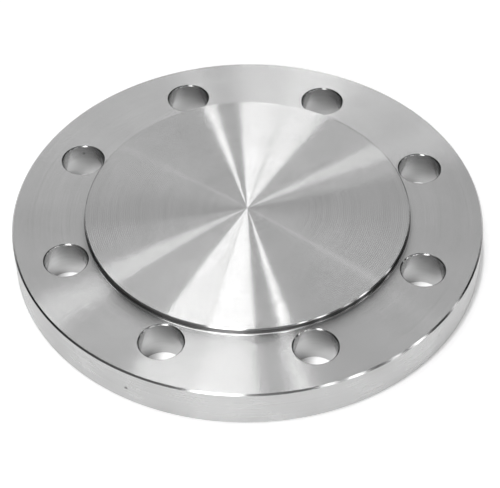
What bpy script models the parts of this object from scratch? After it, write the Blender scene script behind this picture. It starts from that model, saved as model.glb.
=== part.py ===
"""A DN 80, PN 16 blind flange with a raised sealing face, in metres.

It is one turned and drilled disc. The axis is Z, the back face lies on z = 0 and the raised sealing
face looks up. The origin is the centre of the back face.
"""

from math import cos, pi, radians, sin

import bpy

# Sizes of the pressure class
OUTSIDE_DIAMETER = 0.200
THICKNESS = 0.020  # back face to sealing face
RAISED_FACE_DIAMETER = 0.138
RAISED_FACE_HEIGHT = 0.003
BOLT_CIRCLE_DIAMETER = 0.160
BOLT_HOLE_DIAMETER = 0.018
BOLT_HOLES = 8  # they straddle the X and Y axes

# Edges that turning and drilling leave
RIM_CHAMFER = 0.0007
BACK_CHAMFER = 0.0003
RAISED_FACE_CHAMFER = 0.0004
STEP_FILLET = 0.0006
HOLE_CHAMFER = 0.0005
HOLE_BACK_CHAMFER = 0.0002

# How finely the round shapes are cut
DISC_STEPS = 144
HOLE_STEPS = 40
FILLET_STEPS = 3
CUTTER_OVERRUN = 0.001
MERGE_DISTANCE = 0.00001
SHARP_ANGLE = radians(30)

RING_TOP = THICKNESS - RAISED_FACE_HEIGHT


def clear_scene():
    for obj in list(bpy.data.objects):
        bpy.data.objects.remove(obj, do_unlink=True)


def new_collection(name):
    collection = bpy.data.collections.new(name)
    bpy.context.scene.collection.children.link(collection)
    return collection


def steel_material():
    material = bpy.data.materials.new("turned_stainless_steel")
    material.use_nodes = True
    shader = material.node_tree.nodes["Principled BSDF"]
    shader.inputs["Base Color"].default_value = (0.62, 0.62, 0.62, 1)
    shader.inputs["Metallic"].default_value = 1
    shader.inputs["Roughness"].default_value = 0.33
    return material


def turned_mesh(name, profile, steps):
    """A solid turned about Z from (radius, height) points that run from the top centre to the bottom centre."""
    mesh = bpy.data.meshes.new(name)
    edges = [(i, i + 1) for i in range(len(profile) - 1)]
    mesh.from_pydata([(radius, 0, height) for radius, height in profile], edges, [])
    obj = bpy.data.objects.new(name, mesh)
    screw = obj.modifiers.new("turn", "SCREW")
    screw.steps = screw.render_steps = steps
    screw.use_merge_vertices = True
    screw.merge_threshold = MERGE_DISTANCE
    return obj


def step_fillet(radius, height):
    """The concave arc at the foot of the raised face's wall, from the wall down to the ring."""
    centre_radius, centre_height = radius + STEP_FILLET, height + STEP_FILLET
    angles = [pi + i * pi / 2 / FILLET_STEPS for i in range(FILLET_STEPS + 1)]
    return [
        (centre_radius + STEP_FILLET * cos(angle), centre_height + STEP_FILLET * sin(angle))
        for angle in angles
    ]


def disc_profile():
    outside = OUTSIDE_DIAMETER / 2
    wall = RAISED_FACE_DIAMETER / 2
    return [
        (0, THICKNESS),
        (wall - RAISED_FACE_CHAMFER, THICKNESS),
        (wall, THICKNESS - RAISED_FACE_CHAMFER),
        *step_fillet(wall, RING_TOP),
        (outside - RIM_CHAMFER, RING_TOP),
        (outside, RING_TOP - RIM_CHAMFER),
        (outside, BACK_CHAMFER),
        (outside - BACK_CHAMFER, 0),
        (0, 0),
    ]


def hole_profile():
    """A through-hole with a 45 degree chamfer at each face. Each cone runs past its face by the overrun."""
    radius = BOLT_HOLE_DIAMETER / 2
    return [
        (0, RING_TOP + CUTTER_OVERRUN),
        (radius + HOLE_CHAMFER + CUTTER_OVERRUN, RING_TOP + CUTTER_OVERRUN),
        (radius, RING_TOP - HOLE_CHAMFER),
        (radius, HOLE_BACK_CHAMFER),
        (radius + HOLE_BACK_CHAMFER + CUTTER_OVERRUN, -CUTTER_OVERRUN),
        (0, -CUTTER_OVERRUN),
    ]


def bolt_hole_cutters(collection):
    first = turned_mesh("bolt_hole_cutter", hole_profile(), HOLE_STEPS)
    for i in range(BOLT_HOLES):
        cutter = first if i == 0 else first.copy()
        angle = (i + 0.5) * 2 * pi / BOLT_HOLES
        cutter.location.x = BOLT_CIRCLE_DIAMETER / 2 * cos(angle)
        cutter.location.y = BOLT_CIRCLE_DIAMETER / 2 * sin(angle)
        cutter.rotation_euler.z = angle
        cutter.hide_render = True
        cutter.display_type = "WIRE"
        collection.objects.link(cutter)


def flange_disc(collection, cutters):
    disc = turned_mesh("flange_disc", disc_profile(), DISC_STEPS)
    disc.data.materials.append(steel_material())
    collection.objects.link(disc)
    drilling = disc.modifiers.new("bolt_holes", "BOOLEAN")
    drilling.operation = "DIFFERENCE"
    drilling.solver = "EXACT"
    drilling.operand_type = "COLLECTION"
    drilling.collection = cutters
    return disc


def shade_round(disc):
    """Smooth shading on the turned surfaces, with the edges between them left sharp."""
    disc.data.shade_smooth()
    disc.data.set_sharp_from_angle(angle=SHARP_ANGLE)


def main():
    clear_scene()
    cutters = new_collection("cutters")
    cutters.hide_render = True
    bolt_hole_cutters(cutters)
    disc = flange_disc(new_collection("blind_flange"), cutters)
    shade_round(disc)


main()
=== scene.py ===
"""The looks of the blind flange: one turned and drilled disc of bare stainless steel under studio light.

The disc is rebuilt as a fine mesh inside the CAD disc's box: the spiral groove of the raised face is real
geometry, and so are the rounded chamfers, the fillet at the foot of the raised face and the bolt holes.
All lengths are in metres. Rows of the mesh run outwards and down, columns run round the axis.
"""

from math import ceil, cos, pi, radians, sin, tan

import bpy
from mathutils import Matrix, Vector

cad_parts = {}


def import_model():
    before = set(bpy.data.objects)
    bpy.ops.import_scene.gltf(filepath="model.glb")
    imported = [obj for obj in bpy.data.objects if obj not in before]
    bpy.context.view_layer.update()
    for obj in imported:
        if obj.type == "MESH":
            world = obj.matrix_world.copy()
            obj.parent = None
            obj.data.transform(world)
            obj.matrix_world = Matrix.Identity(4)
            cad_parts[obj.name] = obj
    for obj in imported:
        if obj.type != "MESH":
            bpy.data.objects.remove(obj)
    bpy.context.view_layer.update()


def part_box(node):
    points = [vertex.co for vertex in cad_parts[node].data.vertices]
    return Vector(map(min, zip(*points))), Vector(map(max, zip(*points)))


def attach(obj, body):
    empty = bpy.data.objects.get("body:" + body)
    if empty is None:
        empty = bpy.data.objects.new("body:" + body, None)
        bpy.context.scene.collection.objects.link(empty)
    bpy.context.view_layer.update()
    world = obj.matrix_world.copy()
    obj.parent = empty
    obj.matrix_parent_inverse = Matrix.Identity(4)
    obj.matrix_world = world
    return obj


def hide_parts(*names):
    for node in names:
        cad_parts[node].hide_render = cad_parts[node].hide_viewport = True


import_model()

# The disc, from the CAD box and its drawing
DISC_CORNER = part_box("flange_disc")[1]
OUTSIDE_RADIUS = DISC_CORNER.x
FACE_HEIGHT = DISC_CORNER.z
RAISED_FACE_HEIGHT = 0.003
RING_HEIGHT = FACE_HEIGHT - RAISED_FACE_HEIGHT
RAISED_FACE_RADIUS = 0.069
BOLT_CIRCLE_RADIUS = 0.080
BOLT_HOLES = 8
HOLE_RADIUS = 0.009
RIM_CHAMFER = 0.0007
BACK_CHAMFER = 0.0003
RAISED_FACE_CHAMFER = 0.0004
STEP_FILLET = 0.0006
HOLE_CHAMFER = 0.0005
HOLE_BACK_CHAMFER = 0.0002
EDGE_ROUND = 0.00007

# The spiral groove that the facing tool leaves on the raised face
GROOVE_PITCH = 0.0008
GROOVE_DEPTH = 0.00007

# How finely the mesh is cut
COLUMNS = 384
HOLE_COLUMNS = 96
ROUND_STEPS = 2
FILLET_STEPS = 6
BACK_CAP_RADIUS = 0.068
SAME_LENGTH = 1e-7  # two lengths that differ by less are the same
GROOVE_SNAP = GROOVE_PITCH / 20  # a point of the groove this near the face's edge joins it

# The camera
SENSOR_WIDTH = 36
FOCAL_LENGTH = 119.5
CAMERA_AZIMUTH = radians(3.27)
CAMERA_ELEVATION = radians(45.57)
CAMERA_ROLL = radians(-0.80)
CAMERA_DISTANCE = 0.7075
AIM_RIGHT, AIM_UP = 0.00115, -0.01325

# The studio
CEILING_HEIGHT = 2.5
LAMP_DISTANCE = 1.5
BACKDROP_RADIANCE = 1.3
BACKDROP_DIRECTION = (-0.18, 0.984, 0)
BACKDROP_FOCUS = 5.0
BACKDROP_SIDES = (0.50, 0.75)  # it fades out between these sideways parts of the direction
CEILING_DIRECTION = (0, 0.5, 0.87)
CEILING_EDGE, CEILING_MIDDLE = 0.62, 0.85  # cosines of the angle from that direction
CEILING_RADIANCE = 0.30
FRONT_DIRECTION = (0, -1, 0)
FRONT_RADIANCE = 0.25
DARK_RADIANCE = 0.05
FLOOR_RADIUS = 8
FLOOR_SIDES = 96
FLOOR_GREY = 0.8
FLOOR_ROUGHNESS = 0.9
FLOOR_GAP = 0.0002  # under the disc's back face
FLOOR_GLOW = 0.46
# Painted shadow: the floor glows only this much in a soft ring just outside the disc, on the right and at the
# back
SHADOW_GLOW = 0.15
FAR_FLOOR, FAR_GLOW = (0.3, 1.5), 0.6  # the floor glows more as it goes away from the disc
# Painted shade: a sheet under the disc glows much less than the floor around it, as if in the disc's shade,
# and shows through the bolt holes
UNDER_RADIUS = 0.098  # of the sheet under the disc
HOLE_GLOW = 0.10
HOLE_LAMP_DIRECTION, HOLE_LAMP_SIDE, HOLE_LAMP_RADIANCE = (-0.36, -0.42, 0.83), 0.4, 43
# Where the painted shadow lies: a circle a little wider than the disc, shifted right and back
SHADOW_DIRECTION = (0.85, 0.53, 0)
SHADOW_SHIFT = 0.002  # of the shadow's centre from the disc's
SHADOW_START, SHADOW_FADE = 0.0005, 0.0010  # inside and outside the disc's radius

# The finishes, in the order of the mesh's material slots
FINISHES = (
    "grooved_face",
    "turned_ring",
    "rim_edge",
    "step_edge",
    "step_wall",
    "rim_side",
    "hole_edge",
    "hole_wall",
    "back_face",
)
FACE, RING, RIM_EDGE, STEP_EDGE, STEP, RIM, HOLE_EDGE, HOLE, BACK = range(len(FINISHES))


# --- The mesh -----------------------------------------------------------------------------------


class Mesh:
    """Points and faces, gathered zone by zone."""

    def __init__(self):
        self.points = []
        self.faces = []
        self.zones = []
        self.sharp = set()

    def point(self, radius, angle, height, centre=(0, 0)):
        self.points.append((centre[0] + radius * cos(angle), centre[1] + radius * sin(angle), height))
        return len(self.points) - 1

    def circle(self, radius, height, columns=COLUMNS, centre=(0, 0), start=0.0):
        """A closed ring of points, anticlockwise seen from above."""
        return [
            self.point(radius, start + 2 * pi * column / columns, height, centre)
            for column in range(columns)
        ]

    def face(self, corners, zone):
        kept = [c for i, c in enumerate(corners) if c != corners[i - 1]]
        if len(set(kept)) > 2:
            self.faces.append(kept)
            self.zones.append(zone)

    def band(self, upper, lower, zone):
        """Quads between two rings of points: the upper one is inside, or above, the lower one."""
        count = len(upper)
        for i in range(count):
            j = (i + 1) % count
            self.face((upper[i], lower[i], lower[j], upper[j]), zone)

    def mark_sharp(self, ring):
        self.sharp.update(frozenset((a, b)) for a, b in zip(ring, ring[1:] + ring[:1]))


def arc_corner(before, corner, after, radius, steps):
    """The points of an arc that rounds a profile's corner and is tangent to both its sides."""
    to_before = (Vector(before) - Vector(corner)).normalized()
    to_after = (Vector(after) - Vector(corner)).normalized()
    half = to_before.angle(to_after) / 2
    reach = radius / tan(half)
    middle = Vector(corner) + (to_before + to_after).normalized() * radius / sin(half)
    start = Vector(corner) + to_before * reach - middle
    sweep = pi - 2 * half
    turn = 1 if to_before.x * to_after.y - to_before.y * to_after.x < 0 else -1
    return [middle + Matrix.Rotation(turn * sweep * i / steps, 2) @ start for i in range(steps + 1)]


def rounded_profile(corners):
    """(radius, height) points along a profile. Each corner is (radius, height, rounding, steps)."""
    points = []
    for before, corner, after in zip(corners, corners[1:], corners[2:]):
        points += arc_corner(before[:2], corner[:2], after[:2], corner[2], corner[3])
    return [(p.x, p.y) for p in points]


def step_profile():
    """The edge of the raised face: chamfer, wall and fillet, from the face down to the ring."""
    wall = RAISED_FACE_RADIUS
    return rounded_profile(
        [
            (0, FACE_HEIGHT),
            (wall - RAISED_FACE_CHAMFER, FACE_HEIGHT, EDGE_ROUND, ROUND_STEPS),
            (wall, FACE_HEIGHT - RAISED_FACE_CHAMFER, EDGE_ROUND, ROUND_STEPS),
            (wall, RING_HEIGHT, STEP_FILLET, FILLET_STEPS),
            (OUTSIDE_RADIUS, RING_HEIGHT),
        ]
    )


def rim_profile():
    """The outside: upper chamfer, rim and lower chamfer, from the ring to the back face."""
    return rounded_profile(
        [
            (0, RING_HEIGHT),
            (OUTSIDE_RADIUS - RIM_CHAMFER, RING_HEIGHT, EDGE_ROUND, ROUND_STEPS),
            (OUTSIDE_RADIUS, RING_HEIGHT - RIM_CHAMFER, EDGE_ROUND, ROUND_STEPS),
            (OUTSIDE_RADIUS, BACK_CHAMFER, EDGE_ROUND, ROUND_STEPS),
            (OUTSIDE_RADIUS - BACK_CHAMFER, 0, EDGE_ROUND, ROUND_STEPS),
            (0, 0),
        ]
    )


def hole_profile():
    """A bolt hole's wall and chamfers, as (radius from the hole's axis, height), top to bottom."""
    return rounded_profile(
        [
            (OUTSIDE_RADIUS, RING_HEIGHT),
            (HOLE_RADIUS + HOLE_CHAMFER, RING_HEIGHT, EDGE_ROUND, ROUND_STEPS),
            (HOLE_RADIUS, RING_HEIGHT - HOLE_CHAMFER, EDGE_ROUND, ROUND_STEPS),
            (HOLE_RADIUS, HOLE_BACK_CHAMFER, EDGE_ROUND, ROUND_STEPS),
            (HOLE_RADIUS + HOLE_BACK_CHAMFER, 0, EDGE_ROUND, ROUND_STEPS),
            (OUTSIDE_RADIUS, 0),
        ]
    )


def groove_face(mesh, edge):
    """The raised face inside its edge ring: crests and valleys that wind outwards by one pitch a turn."""
    edge_radius = Vector(mesh.points[edge[0]][:2]).length
    centre = mesh.point(0, 0, FACE_HEIGHT)
    rows = ceil(edge_radius / (GROOVE_PITCH / 2)) + 1
    made = {}

    def point(row, column):
        if column == COLUMNS:
            row, column = row + 2, 0
        radius = (row + 2 * column / COLUMNS) * GROOVE_PITCH / 2
        if radius <= 0:
            return centre
        if radius >= edge_radius - GROOVE_SNAP:
            return edge[column]
        if (row, column) not in made:
            height = FACE_HEIGHT - (GROOVE_DEPTH if row % 2 else 0)
            made[row, column] = mesh.point(radius, 2 * pi * column / COLUMNS, height)
        return made[row, column]

    for row in range(-2, rows):
        for column in range(COLUMNS):
            inner, inner_next = point(row, column), point(row, column + 1)
            outer, outer_next = point(row + 1, column), point(row + 1, column + 1)
            mesh.face((inner, outer, outer_next, inner_next), FACE)
            if row % 2 == 0:
                mesh.sharp.add(frozenset((inner, inner_next)))


def drilled_annulus(mesh, inner, outer, holes, zone, upwards):
    """The flat face between two rings round the bolt holes: two faces for each hole, one on each side."""
    sector = COLUMNS // BOLT_HOLES
    for number, hole in enumerate(holes):
        middle = number * sector + sector // 2
        for side in (1, -1):
            columns = [(middle + side * i) % COLUMNS for i in range(sector // 2 + 1)]
            half_hole = [hole[side * i % HOLE_COLUMNS] for i in range(HOLE_COLUMNS // 2 + 1)]
            corners = [inner[c] for c in columns] + [outer[c] for c in reversed(columns)] + half_hole
            clockwise = (side == 1) == upwards
            mesh.face(corners[::-1] if clockwise else corners, zone)


def is_upright(radius, next_radius, wall_radius):
    """Whether two neighbouring points of a profile both lie on the straight wall at that radius."""
    return max(abs(radius - wall_radius), abs(next_radius - wall_radius)) < SAME_LENGTH


def bolt_hole(mesh, number):
    """Adds one hole's wall and returns its top and bottom rings."""
    angle = (number + 0.5) * 2 * pi / BOLT_HOLES
    centre = (BOLT_CIRCLE_RADIUS * cos(angle), BOLT_CIRCLE_RADIUS * sin(angle))
    profile = hole_profile()
    rings = [mesh.circle(radius, height, HOLE_COLUMNS, centre, angle) for radius, height in profile]
    for (upper, lower), ((radius, _), (next_radius, _)) in zip(
        zip(rings, rings[1:]), zip(profile, profile[1:])
    ):
        upright = is_upright(radius, next_radius, HOLE_RADIUS)
        mesh.band(lower[::-1], upper[::-1], HOLE if upright else HOLE_EDGE)
    return rings[0], rings[-1]


def turned_bands(mesh, profile, wall_radius, wall_zone, edge_zone):
    """Adds the bands of a profile that runs outwards and down, and returns its first and last rings."""
    rings = [mesh.circle(radius, height) for radius, height in profile]
    for i in range(len(rings) - 1):
        upright = is_upright(profile[i][0], profile[i + 1][0], wall_radius)
        mesh.band(rings[i], rings[i + 1], wall_zone if upright else edge_zone)
    return rings[0], rings[-1]


def flange_mesh():
    mesh = Mesh()
    face_edge, step_foot = turned_bands(mesh, step_profile(), RAISED_FACE_RADIUS, STEP, STEP_EDGE)
    groove_face(mesh, face_edge)
    ring_edge, back_edge = turned_bands(mesh, rim_profile(), OUTSIDE_RADIUS, RIM, RIM_EDGE)
    hole_rings = [bolt_hole(mesh, number) for number in range(BOLT_HOLES)]
    drilled_annulus(mesh, step_foot, ring_edge, [top for top, _ in hole_rings], RING, upwards=True)
    cap = mesh.circle(BACK_CAP_RADIUS, 0)
    drilled_annulus(mesh, cap, back_edge, [bottom for _, bottom in hole_rings], BACK, upwards=False)
    mesh.face(cap[::-1], BACK)
    mesh.mark_sharp(face_edge)
    return mesh


def flange_object(mesh):
    data = bpy.data.meshes.new("flange_disc_steel")
    data.from_pydata(mesh.points, [], mesh.faces)
    data.polygons.foreach_set("material_index", mesh.zones)
    data.shade_smooth()
    for edge in data.edges:
        if frozenset(edge.vertices) in mesh.sharp:
            edge.use_edge_sharp = True
    for finish in FINISHES:
        data.materials.append(steel(finish))
    obj = bpy.data.objects.new("flange_disc_steel", data)
    bpy.context.scene.collection.objects.link(obj)
    weighted = obj.modifiers.new("flat_faces_stay_flat", "WEIGHTED_NORMAL")
    weighted.keep_sharp = True
    return obj


# --- Materials ----------------------------------------------------------------------------------


class Finish:
    """How a zone was cut and what that leaves: lengths in metres, slopes as rise over run."""

    def __init__(
        self, grey, roughness, feed, slope, wobble, streak, blotch, across="height", brushed=True, nicks=0.0
    ):
        self.grey = grey  # of the bare metal
        self.roughness = roughness
        self.feed = feed  # the tool's advance per turn
        self.slope = slope  # steepest slope of the marks
        self.wobble = wobble  # slope along the marks, from chatter
        self.streak = streak  # share by which single marks are lighter or darker
        self.blotch = blotch  # share by which patches are lighter or darker
        self.across = across  # whether the marks follow one another outwards or upwards
        self.brushed = brushed  # whether the marks are fine enough to stretch every reflection
        self.nicks = nicks  # share by which small nicks are darker


# Each finish: grey, roughness, feed, slope, wobble, streak, blotch
CUTS = {
    "grooved_face": Finish(0.62, 0.17, 0.00016, 0.47, 0.007, 0.06, 0.08, across="radius"),
    "turned_ring": Finish(0.66, 0.22, 0.00012, 0.27, 0.007, 0.05, 0.08, across="radius"),
    "rim_edge": Finish(0.47, 0.15, 0.00010, 0.08, 0.008, 0.00, 0.20, brushed=False),
    "step_edge": Finish(0.50, 0.12, 0.00010, 0.10, 0.010, 0.00, 0.30, brushed=False),
    # The step's wall: its grey of 0.20, far darker than the other zones, is painted shade
    "step_wall": Finish(0.20, 0.30, 0.00020, 0.10, 0.020, 0.20, 0.20),
    "rim_side": Finish(0.60, 0.28, 0.00015, 0.20, 0.020, 0.08, 0.14, nicks=0.6),
    "hole_edge": Finish(0.45, 0.17, 0.00010, 0.10, 0.300, 0.00, 0.50, brushed=False),
    "hole_wall": Finish(0.46, 0.20, 0.00030, 0.12, 0.030, 0.10, 0.15, brushed=False, nicks=0.4),
    "back_face": Finish(0.60, 0.28, 0.00020, 0.28, 0.030, 0.08, 0.08, across="radius", nicks=0.4),
}
# The noise textures: how many features there are in a metre, and how many octaves of detail they have
BLOTCH_SCALE, BLOTCH_DETAIL = 45, 4.0
MARK_SCALE, MARK_DETAIL = 900, 2.0
WOBBLE_SCALE, WOBBLE_DETAIL = 160, 3.0
NICK_SCALE, NICK_DETAIL = 260, 1.0
NICK_EDGE, NICK_MIDDLE = 0.50, 0.66  # levels of the noise
SLOW_ROUND = 0.02  # how much slower a mark changes along its length than across it
BRUSHED_ANISOTROPY = 1.0
BRUSHED_TURN = 0.25  # of a full turn, from the direction round the axis: reflections stretch across the marks
WALL_TINT = 0.2  # the step's wall reflects this little at a grazing angle, as painted shade


def node(tree, kind, **settings):
    made = tree.nodes.new(kind)
    for name, value in settings.items():
        setattr(made, name, value)
    return made


def fill(tree, socket, value):
    """Links a socket to another node's output, or sets it to a number or a vector."""
    if isinstance(value, bpy.types.NodeSocket):
        tree.links.new(value, socket)
    else:
        socket.default_value = value


def arithmetic(tree, operation, first, second=0.0):
    made = node(tree, "ShaderNodeMath", operation=operation)
    fill(tree, made.inputs[0], first)
    fill(tree, made.inputs[1], second)
    return made.outputs["Value"]


def vector_math(tree, operation, first, second=(0, 0, 0), scale=1.0):
    made = node(tree, "ShaderNodeVectorMath", operation=operation)
    fill(tree, made.inputs[0], first)
    fill(tree, made.inputs[1], second)
    if operation == "SCALE":
        fill(tree, made.inputs["Scale"], scale)
    return made.outputs["Value" if operation in ("LENGTH", "DOT_PRODUCT") else "Vector"]


def noise(tree, vector, scale, detail):
    """Noise from -1 to 1."""
    made = node(tree, "ShaderNodeTexNoise", noise_dimensions="3D")
    fill(tree, made.inputs["Vector"], vector)
    made.inputs["Scale"].default_value = scale
    made.inputs["Detail"].default_value = detail
    return arithmetic(tree, "MULTIPLY", arithmetic(tree, "SUBTRACT", made.outputs["Fac"], 0.5), 2.0)


def ramp(tree, value, start, end, first, last):
    """A smooth change from the first number to the last while the value goes from start to end."""
    made = node(tree, "ShaderNodeMapRange", interpolation_type="SMOOTHSTEP")
    made.inputs["From Min"].default_value = start
    made.inputs["From Max"].default_value = end
    made.inputs["To Min"].default_value = first
    made.inputs["To Max"].default_value = last
    fill(tree, made.inputs["Value"], value)
    return made.outputs["Result"]


class Turning:
    """Where a point of the metal lies on the lathe: its place, how far along the tool's path, and the two
    directions across and along the marks."""

    def __init__(self, tree, finish):
        self.place = node(tree, "ShaderNodeTexCoord").outputs["Object"]
        flat = vector_math(tree, "MULTIPLY", self.place, (1, 1, 0))
        outwards = vector_math(tree, "NORMALIZE", flat)
        self.along = vector_math(tree, "CROSS_PRODUCT", (0, 0, 1), outwards)
        if finish.across == "radius":
            self.distance = vector_math(tree, "LENGTH", flat)
            self.across = outwards
        else:
            axes = node(tree, "ShaderNodeSeparateXYZ")
            tree.links.new(self.place, axes.inputs["Vector"])
            self.distance = axes.outputs["Z"]
            self.across = (0, 0, 1)
        # A space in which marks are long: fast across them, slow along them
        slow = vector_math(tree, "SCALE", self.place, scale=SLOW_ROUND)
        step = vector_math(tree, "SCALE", (1, 1, 1), scale=self.distance)
        self.marks = vector_math(tree, "ADD", slow, step)


def turning_normal(tree, finish, turning):
    """The metal's normal, tilted across the marks by the arc that the tool's nose leaves at each turn, and
    along them by chatter."""
    turn = arithmetic(tree, "FRACT", arithmetic(tree, "DIVIDE", turning.distance, finish.feed))
    tilt = arithmetic(tree, "MULTIPLY", arithmetic(tree, "SUBTRACT", turn, 0.5), 2 * finish.slope)
    chatter = noise(tree, turning.marks, WOBBLE_SCALE, WOBBLE_DETAIL)
    sway = arithmetic(tree, "MULTIPLY", chatter, finish.wobble)
    normal = node(tree, "ShaderNodeNewGeometry").outputs["Normal"]
    tilted = vector_math(tree, "ADD", normal, vector_math(tree, "SCALE", turning.across, scale=tilt))
    tilted = vector_math(tree, "ADD", tilted, vector_math(tree, "SCALE", turning.along, scale=sway))
    return vector_math(tree, "NORMALIZE", tilted)


def untouched(tree, place, nicks):
    """1 on sound metal, and less in small scattered nicks."""
    level = noise(tree, place, NICK_SCALE, NICK_DETAIL)
    return ramp(tree, level, NICK_EDGE, NICK_MIDDLE, 1.0, 1.0 - nicks)


def unevenness(tree, finish, turning):
    """The share by which the metal is lighter or darker, in patches and in single marks."""
    blotches = noise(tree, turning.place, BLOTCH_SCALE, BLOTCH_DETAIL)
    streaks = noise(tree, turning.marks, MARK_SCALE, MARK_DETAIL)
    return arithmetic(
        tree,
        "ADD",
        arithmetic(tree, "MULTIPLY", blotches, finish.blotch),
        arithmetic(tree, "MULTIPLY", streaks, finish.streak),
    )


def metal_colour(tree, finish, turning, uneven):
    """The grey of the bare metal, uneven and darker in its nicks."""
    shade = arithmetic(tree, "MULTIPLY", arithmetic(tree, "ADD", uneven, 1.0), finish.grey)
    if finish.nicks:
        shade = arithmetic(tree, "MULTIPLY", shade, untouched(tree, turning.place, finish.nicks))
    colour = node(tree, "ShaderNodeCombineColor")
    for channel in ("Red", "Green", "Blue"):
        tree.links.new(shade, colour.inputs[channel])
    return colour.outputs["Color"]


def brush(tree, shader):
    """Stretches every reflection across the marks that run round the axis."""
    shader.inputs["Anisotropic"].default_value = BRUSHED_ANISOTROPY
    shader.inputs["Anisotropic Rotation"].default_value = BRUSHED_TURN
    tangent = node(tree, "ShaderNodeTangent", direction_type="RADIAL", axis="Z")
    tree.links.new(tangent.outputs["Tangent"], shader.inputs["Tangent"])


def steel(name):
    finish = CUTS[name]
    material = bpy.data.materials.new(name)
    material.use_nodes = True
    tree = material.node_tree
    shader = tree.nodes["Principled BSDF"]
    turning = Turning(tree, finish)
    uneven = unevenness(tree, finish, turning)
    tree.links.new(metal_colour(tree, finish, turning, uneven), shader.inputs["Base Color"])
    rough = arithmetic(tree, "MULTIPLY", arithmetic(tree, "SUBTRACT", 1.0, uneven), finish.roughness)
    tree.links.new(rough, shader.inputs["Roughness"])
    shader.inputs["Metallic"].default_value = 1
    # Painted shade: the step's wall is made dark at a grazing angle
    if name == "step_wall":
        shader.inputs["Specular Tint"].default_value = (WALL_TINT, WALL_TINT, WALL_TINT, 1)
    tree.links.new(turning_normal(tree, finish, turning), shader.inputs["Normal"])
    if finish.brushed:
        brush(tree, shader)
    return material


# --- Stage, light and camera --------------------------------------------------------------------


def rig_direction(right, back, up):
    """A direction given as the camera sees the disc, turned into the disc's own frame."""
    return Matrix.Rotation(CAMERA_AZIMUTH, 3, "Z") @ Vector((right, back, up)).normalized()


def area_light(name, length, width, radiance):
    light = bpy.data.lights.new(name, "AREA")
    light.shape = "RECTANGLE"
    light.size, light.size_y = length, width
    light.energy = radiance * pi * length * width  # watts
    obj = bpy.data.objects.new(name, light)
    bpy.context.scene.collection.objects.link(obj)
    return obj


def softbox(name, corner, angle, length, width, radiance):
    """A softbox that hangs under the ceiling and faces down. One long edge starts at the corner and runs at
    the angle, and the softbox lies on the left of that edge, seen from above."""
    area_light(name, length, width, radiance).matrix_world = (
        Matrix.Rotation(CAMERA_AZIMUTH, 4, "Z")
        @ Matrix.Translation((*corner, CEILING_HEIGHT))
        @ Matrix.Rotation(radians(angle), 4, "Z")
        @ Matrix.Translation((length / 2, width / 2, 0))
    )


def panel(name, corners, radiance):
    """A glowing panel of any outline under the ceiling. Its corners run clockwise, seen from above."""
    data = bpy.data.meshes.new(name)
    data.from_pydata([(x, y, CEILING_HEIGHT) for x, y in corners], [], [tuple(range(len(corners)))])
    obj = bpy.data.objects.new(name, data)
    obj.rotation_euler.z = CAMERA_AZIMUTH
    bpy.context.scene.collection.objects.link(obj)
    material = bpy.data.materials.new(name)
    material.use_nodes = True
    tree = material.node_tree
    tree.nodes.clear()
    glow = node(tree, "ShaderNodeEmission")
    glow.inputs["Strength"].default_value = radiance
    output = node(tree, "ShaderNodeOutputMaterial")
    tree.links.new(glow.outputs["Emission"], output.inputs["Surface"])
    data.materials.append(material)


def lamp(name, direction, width, height, radiance):
    """A softbox on a stand, facing the disc."""
    toward = rig_direction(*direction)
    obj = area_light(name, width, height, radiance)
    obj.matrix_world = (
        Matrix.Translation(toward * LAMP_DISTANCE) @ toward.to_track_quat("Z", "Y").to_matrix().to_4x4()
    )
    return obj


def hole_lamp(floor_under):
    """Lights only the floor under the disc, through the bolt holes, from the front and the left."""
    obj = lamp("hole_lamp", HOLE_LAMP_DIRECTION, HOLE_LAMP_SIDE, HOLE_LAMP_SIDE, HOLE_LAMP_RADIANCE)
    obj.visible_glossy = False
    receivers = bpy.data.collections.new("floor_under_the_disc")
    receivers.objects.link(floor_under)
    obj.light_linking.receiver_collection = receivers


def floor_sheet(name, radius, height):
    """A round, pale, matt sheet with a white glow, as strong as the caller sets it. Returns the sheet and its
    material's nodes.
    """
    data = bpy.data.meshes.new(name)
    angles = [2 * pi * i / FLOOR_SIDES for i in range(FLOOR_SIDES)]
    outline = [(radius * cos(angle), radius * sin(angle), 0) for angle in angles]
    data.from_pydata(outline, [], [range(FLOOR_SIDES)])
    obj = bpy.data.objects.new(name, data)
    obj.location.z = height
    bpy.context.scene.collection.objects.link(obj)
    material = bpy.data.materials.new(name)
    material.use_nodes = True
    shader = material.node_tree.nodes["Principled BSDF"]
    shader.inputs["Base Color"].default_value = (FLOOR_GREY, FLOOR_GREY, FLOOR_GREY, 1)
    shader.inputs["Roughness"].default_value = FLOOR_ROUGHNESS
    shader.inputs["Emission Color"].default_value = (1, 1, 1, 1)
    data.materials.append(material)
    return obj, material.node_tree


def floor():
    """A pale floor that glows, so that it stays white, but less in a painted soft shadow of the disc on the
    right. A smaller sheet lies on it, hidden under the disc, and shows through the bolt holes; it glows much
    less, as painted shade. Returns that one."""
    _, tree = floor_sheet("floor", FLOOR_RADIUS, -FLOOR_GAP)
    place = node(tree, "ShaderNodeTexCoord").outputs["Object"]
    # Painted shadow: the glow drops near the disc's edge, round a centre shifted right and back from the
    # disc's
    from_shadow = vector_math(tree, "SUBTRACT", place, rig_direction(*SHADOW_DIRECTION) * SHADOW_SHIFT)
    distance = vector_math(tree, "LENGTH", from_shadow)
    shadow = (OUTSIDE_RADIUS - SHADOW_START, OUTSIDE_RADIUS + SHADOW_FADE)
    near = ramp(tree, distance, *shadow, SHADOW_GLOW, FLOOR_GLOW)
    glow = arithmetic(tree, "ADD", near, ramp(tree, distance, *FAR_FLOOR, 0.0, FAR_GLOW))
    tree.links.new(glow, tree.nodes["Principled BSDF"].inputs["Emission Strength"])
    # Painted shade: the sheet under the disc glows far less than the floor, standing for the disc's shade
    under, under_tree = floor_sheet("floor_under_the_disc", UNDER_RADIUS, -FLOOR_GAP / 2)
    under_tree.nodes["Principled BSDF"].inputs["Emission Strength"].default_value = HOLE_GLOW
    return under


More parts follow.
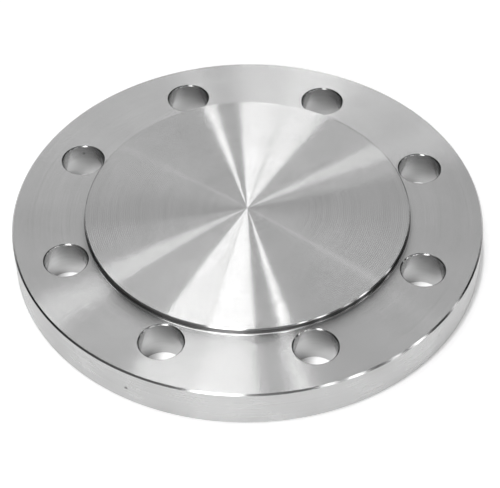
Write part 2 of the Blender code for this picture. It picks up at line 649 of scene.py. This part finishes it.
def world():
    """A dark studio with a pale backdrop behind the disc, and a grey ceiling and front. The camera sees
    it white."""
    made = bpy.data.worlds.new("studio")
    made.use_nodes = True
    tree = made.node_tree
    background = tree.nodes["Background"]
    background.inputs["Color"].default_value = (1, 1, 1, 1)
    direction = node(tree, "ShaderNodeTexCoord").outputs["Generated"]
    behind = arithmetic(tree, "MAXIMUM", vector_math(tree, "DOT_PRODUCT", direction, BACKDROP_DIRECTION), 0.0)
    focused = arithmetic(tree, "POWER", behind, BACKDROP_FOCUS)
    backdrop = arithmetic(tree, "MULTIPLY", focused, BACKDROP_RADIANCE)
    aside = arithmetic(tree, "ABSOLUTE", vector_math(tree, "DOT_PRODUCT", direction, (1, 0, 0)))
    backdrop = arithmetic(tree, "MULTIPLY", backdrop, ramp(tree, aside, *BACKDROP_SIDES, 1.0, 0.0))
    above = vector_math(tree, "DOT_PRODUCT", direction, CEILING_DIRECTION)
    ceiling = ramp(tree, above, CEILING_EDGE, CEILING_MIDDLE, 0.0, CEILING_RADIANCE)
    before = arithmetic(tree, "MAXIMUM", vector_math(tree, "DOT_PRODUCT", direction, FRONT_DIRECTION), 0.0)
    front = arithmetic(tree, "MULTIPLY", before, FRONT_RADIANCE)
    lit = arithmetic(tree, "ADD", arithmetic(tree, "ADD", backdrop, front), ceiling)
    lit = arithmetic(tree, "ADD", lit, DARK_RADIANCE)
    seen = node(tree, "ShaderNodeLightPath").outputs["Is Camera Ray"]
    tree.links.new(arithmetic(tree, "MAXIMUM", lit, seen), background.inputs["Strength"])
    bpy.context.scene.world = made
    bpy.context.scene.view_settings.view_transform = "Standard"


def camera():
    data = bpy.data.cameras.new("camera")
    data.sensor_width = SENSOR_WIDTH
    data.lens = FOCAL_LENGTH
    obj = bpy.data.objects.new("camera", data)
    bpy.context.scene.collection.objects.link(obj)
    back = rig_direction(0, -cos(CAMERA_ELEVATION), sin(CAMERA_ELEVATION))
    turned = back.to_track_quat("Z", "Y").to_matrix() @ Matrix.Rotation(CAMERA_ROLL, 3, "Z")
    place = Vector((0, 0, RING_HEIGHT)) + turned @ Vector((AIM_RIGHT, AIM_UP, CAMERA_DISTANCE))
    obj.matrix_world = Matrix.Translation(place) @ turned.to_4x4()
    bpy.context.scene.camera = obj


flange = flange_object(flange_mesh())
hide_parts("flange_disc")
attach(flange, "root")
camera()
world()
panel(
    "overhead_right",
    corners=((-0.319, 0.556), (0.045, 0.511), (0.092, -0.785), (-0.663, -0.722)),
    radiance=5.0,
)
panel(
    "overhead_left",
    corners=((-0.695, 0.735), (-0.332, 0.560), (-0.690, -0.720), (-1.400, -0.455)),
    radiance=3.9,
)
softbox("overhead_strip", corner=(0.59, -0.47), angle=103, length=1.0, width=0.13, radiance=6.3)
panel(
    "left_strip",
    corners=((-1.95, 1.47), (-1.25, 1.66), (-1.08, 1.36), (-1.76, 0.93)),
    radiance=3.0,
)
softbox("right_strip", corner=(1.10, 1.17), angle=-28, length=1.0, width=0.15, radiance=0.7)
lamp("low_back_right", direction=(0.3, 0.858, 0.35), width=0.50, height=0.25, radiance=1.2)
lamp("low_back", direction=(0.11, 0.926, 0.36), width=0.11, height=0.25, radiance=1.9)
lamp("beside_camera", direction=(-0.19, -0.74, 0.64), width=0.45, height=0.45, radiance=5.5)
lamp("front_right_1", direction=(0.462, -0.688, 0.561), width=0.10, height=0.30, radiance=5.0)
lamp("front_right_2", direction=(0.611, -0.590, 0.527), width=0.14, height=0.30, radiance=4.5)
lamp("front_right_3", direction=(0.800, -0.400, 0.448), width=0.12, height=0.30, radiance=2.6)
lamp("right_1", direction=(0.887, -0.242, 0.394), width=0.14, height=0.40, radiance=3.4)
lamp("right_2", direction=(0.955, 0.080, 0.285), width=0.10, height=0.40, radiance=2.0)
lamp("low_front", direction=(0.0, -0.90, 0.42), width=1.6, height=0.20, radiance=2.5)
hole_lamp(floor())
